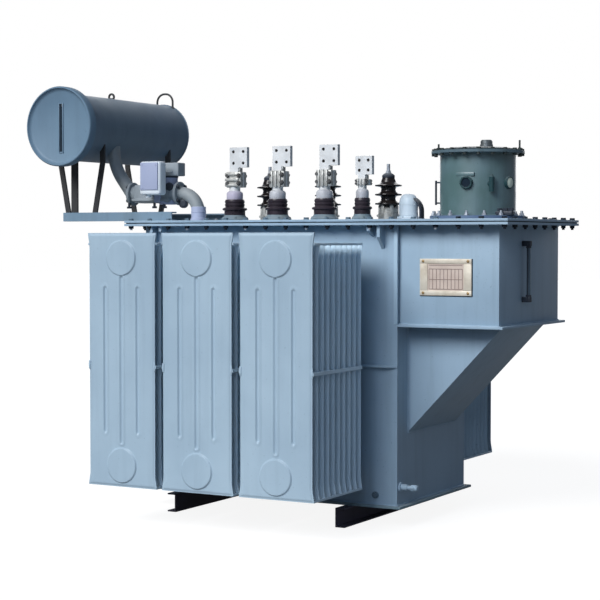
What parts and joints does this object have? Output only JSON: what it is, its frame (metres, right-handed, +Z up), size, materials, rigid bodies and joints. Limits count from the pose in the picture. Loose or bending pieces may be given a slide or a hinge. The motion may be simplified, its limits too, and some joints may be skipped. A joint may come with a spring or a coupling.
{
  "type": "power transformer",
  "caption": "Oil-filled power transformer with panel radiators, side tap changer box, cover bushings and an overhead oil conservator drum.",
  "frame": {"origin": "on the ground under the middle of the tank, at the centre of the four skid bolt holes", "axes": "+X along the front towards the tap changer box, +Y from the low-voltage front to the high-voltage rear, +Z up"},
  "size_m": [2.322, 1.784, 1.896],
  "materials": {
    "tank_paint": "satin blue-grey paint",
    "radiator_paint": "satin blue-grey paint",
    "skid_paint": "dark worn paint",
    "conservator_paint": "satin blue-grey paint",
    "cast_alloy": "cast, dull",
    "lv_insulator": "moulded, satin",
    "porcelain": "dark glazed porcelain",
    "tinned_metal": "tinned, bright",
    "head_paint": "satin green-grey paint",
    "gasket_rubber": "matt",
    "relief_alloy": "pale blue enamel",
    "plate_metal": "etched plate",
    "gauge_glass": "clear tube over a pale scale"
  },
  "bodies": {
    "root": {"base_channel_left": "skid_paint", "base_channel_right": "skid_paint", "base_plate": "tank_paint", "conservator_beams": "conservator_paint", "conservator_front_end": "conservator_paint", "conservator_legs": "conservator_paint", "conservator_lifting_eyes": "conservator_paint", "conservator_rear_end": "conservator_paint", "conservator_shell": "conservator_paint", "cover_plate": "tank_paint", "drain_valve": "cast_alloy", "earthing_terminals": "cast_alloy", "gas_relay": "cast_alloy", "hv_bushing_1": "porcelain", "hv_bushing_2": "porcelain", "hv_bushing_3": "porcelain", "hv_terminal_1": "tinned_metal", "hv_terminal_2": "tinned_metal", "hv_terminal_3": "tinned_metal", "level_gauge": "gauge_glass", "lifting_lugs": "tank_paint", "lv_bushing_1": "lv_insulator", "lv_bushing_2": "lv_insulator", "lv_bushing_3": "lv_insulator", "lv_terminal_1": "tinned_metal", "lv_terminal_2": "tinned_metal", "lv_terminal_3": "tinned_metal", "nameplate": "plate_metal", "neutral_bushing": "lv_insulator", "neutral_terminal": "tinned_metal", "oil_pipe_lower": "tank_paint", "oil_pipe_upper": "tank_paint", "pressure_relief_valve": "relief_alloy", "radiator_front_left": "radiator_paint", "radiator_front_middle": "radiator_paint", "radiator_front_right": "radiator_paint", "radiator_rear_left": "radiator_paint", "radiator_rear_middle": "radiator_paint", "radiator_rear_right": "radiator_paint", "radiator_valves_front": "tank_paint", "radiator_valves_rear": "tank_paint", "relay_terminal_box": "cast_alloy", "rim_gasket": "gasket_rubber", "tank_body": "tank_paint", "tank_rim_flange": "tank_paint", "tap_box_hopper": "tank_paint", "tap_box_ledge": "tank_paint", "tap_changer_base": "head_paint", "tap_changer_box": "tank_paint", "tap_changer_head": "head_paint", "tap_changer_lid": "head_paint", "wall_stiffeners": "tank_paint"}
  },
  "joints": []
}
